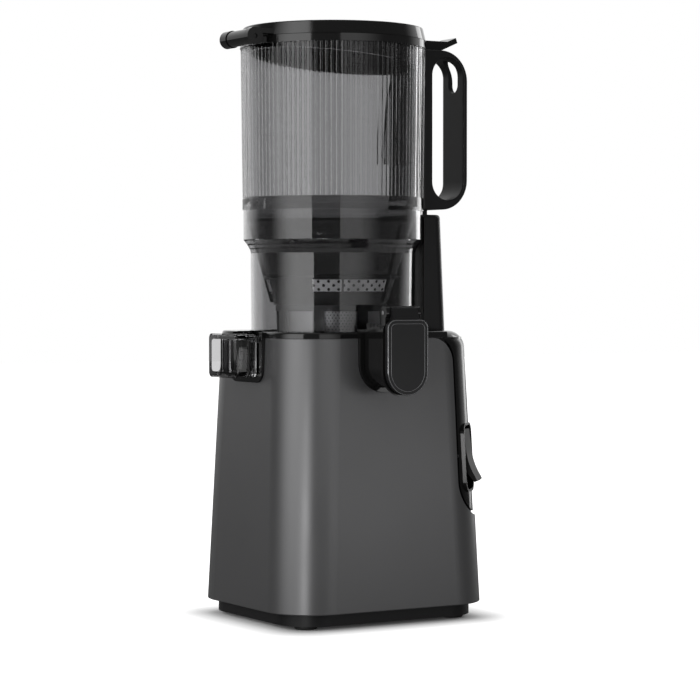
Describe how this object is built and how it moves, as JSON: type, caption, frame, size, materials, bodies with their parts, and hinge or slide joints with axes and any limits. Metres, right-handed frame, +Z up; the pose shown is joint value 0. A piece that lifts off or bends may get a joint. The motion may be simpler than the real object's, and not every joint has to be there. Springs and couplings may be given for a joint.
{
  "type": "cold press juicer",
  "caption": "Tall cold press juicer with a wide smoked hopper, hinged lid, strainer and auger over a tapered dark motor base with a juice spout and a pulp outlet.",
  "frame": {"origin": "Under the middle of the whole machine's footprint box, at the height of the feet's soles.", "axes": "+Z is up, the front with the juice spout faces -Y, the pulp outlet faces -X and the handle is on +X."},
  "size_m": [0.224, 0.202, 0.48],
  "materials": {
    "satin_housing": "satin anthracite housing",
    "gloss_black": "polished black",
    "matte_black": "fine matt black",
    "smoked_clear": "smoked clear plastic",
    "smoked_dark": "dark smoked plastic",
    "auger_resin": "dark filled resin",
    "steel": "perforated and etched steel",
    "steel_bright": "ground steel",
    "motor_iron": "laminations and plated housing",
    "gear_nylon": "natural nylon",
    "gearbox_grey": "glass-filled nylon",
    "bronze": "sintered bronze bush",
    "silicone": "soft silicone seal",
    "rubber_black": "moulded rubber",
    "board_green": "circuit board"
  },
  "bodies": {
    "base": {"base_shell": "satin_housing", "top_deck": "gloss_black", "control_panel": "gloss_black", "switch_pin": "steel_bright", "switch_body": "matte_black", "base_plate": "matte_black", "rubber_feet": "rubber_black", "base_screws": "steel_bright", "cord_gland": "rubber_black", "motor_mounts": "rubber_black", "motor_can": "motor_iron", "motor_end_plate": "motor_iron", "motor_bearings": "steel_bright", "motor_stator": "motor_iron", "gearbox_case": "gearbox_grey", "gearbox_cover": "gearbox_grey", "idler_pin": "steel_bright", "drive_bearings": "bronze", "drive_seal": "silicone", "control_board": "board_green", "lock_tower": "matte_black", "interlock_switch": "matte_black"},
    "switch": {"switch_paddle": "gloss_black"},
    "rotor": {"motor_rotor": "motor_iron", "motor_fan": "matte_black", "motor_pinion": "steel_bright"},
    "idler": {"idler_gear": "gear_nylon"},
    "drive": {"output_gear": "gear_nylon", "drive_shaft": "steel_bright"},
    "plunger": {"interlock_plunger": "gear_nylon"},
    "bowl": {"bowl": "smoked_clear", "bowl_seal": "silicone", "pulp_outlet": "smoked_clear", "spout_head": "gloss_black", "cap_pin": "steel_bright"},
    "cap": {"juice_cap": "matte_black", "cap_seal": "silicone"},
    "strainer": {"strainer_frame": "auger_resin", "strainer_funnel": "smoked_dark", "strainer_screen": "steel"},
    "auger": {"auger": "auger_resin"},
    "hopper": {"hopper": "smoked_clear", "hopper_rim": "gloss_black", "hopper_handle": "matte_black", "hopper_fin": "smoked_clear", "lid_pin": "gloss_black"},
    "lid": {"lid": "gloss_black"}
  },
  "joints": [
    {"name": "switch_toggle", "type": "hinge", "parent": "base", "child": "switch", "pos_m": [0.07489, -0.04937, 0.13266], "axis": [0.7071, 0.7071, 0], "range_deg": [-12, 12]},
    {"name": "motor_spin", "type": "hinge", "parent": "base", "child": "rotor", "pos_m": [-0.0096, 0.01422, 0.06], "axis": [0, 0, 1], "continuous": true},
    {"name": "idler_spin", "type": "hinge", "parent": "base", "child": "idler", "pos_m": [0.0366, 0.01422, 0.123], "axis": [0, 0, 1], "continuous": true},
    {"name": "drive_spin", "type": "hinge", "parent": "base", "child": "drive", "pos_m": [-0.0096, 0.01422, 0.17], "axis": [0, 0, 1], "continuous": true},
    {"name": "interlock_press", "type": "slide", "parent": "base", "child": "plunger", "axis": [0, 0, -1], "range_m": [0, 0.003], "stiffness_N_per_m": 300, "springref_m": -0.002},
    {"name": "bowl_lift", "type": "slide", "parent": "base", "child": "bowl", "axis": [0, 0, 1], "range_m": [0, 0.15]},
    {"name": "cap_hinge", "type": "hinge", "parent": "bowl", "child": "cap", "pos_m": [-0.0096, -0.08928, 0.2495], "axis": [-1, 0, 0], "range_deg": [0, 110]},
    {"name": "strainer_lift", "type": "slide", "parent": "bowl", "child": "strainer", "axis": [0, 0, 1], "range_m": [0, 0.15]},
    {"name": "auger_spin", "type": "hinge", "parent": "strainer", "child": "auger", "pos_m": [-0.0096, 0.01422, 0.24], "axis": [0, 0, 1], "continuous": true},
    {"name": "hopper_lift", "type": "slide", "parent": "strainer", "child": "hopper", "axis": [0, 0, 1], "range_m": [0, 0.1]},
    {"name": "lid_hinge", "type": "hinge", "parent": "hopper", "child": "lid", "pos_m": [-0.097, 0.01422, 0.468], "axis": [0, -1, 0], "range_deg": [0, 100]}
  ],
  "couplings": [
    {"joint": "idler_spin", "follows": "motor_spin", "ratio": -0.2},
    {"joint": "drive_spin", "follows": "motor_spin", "ratio": 0.04},
    {"joint": "auger_spin", "follows": "motor_spin", "ratio": 0.04}
  ]
}
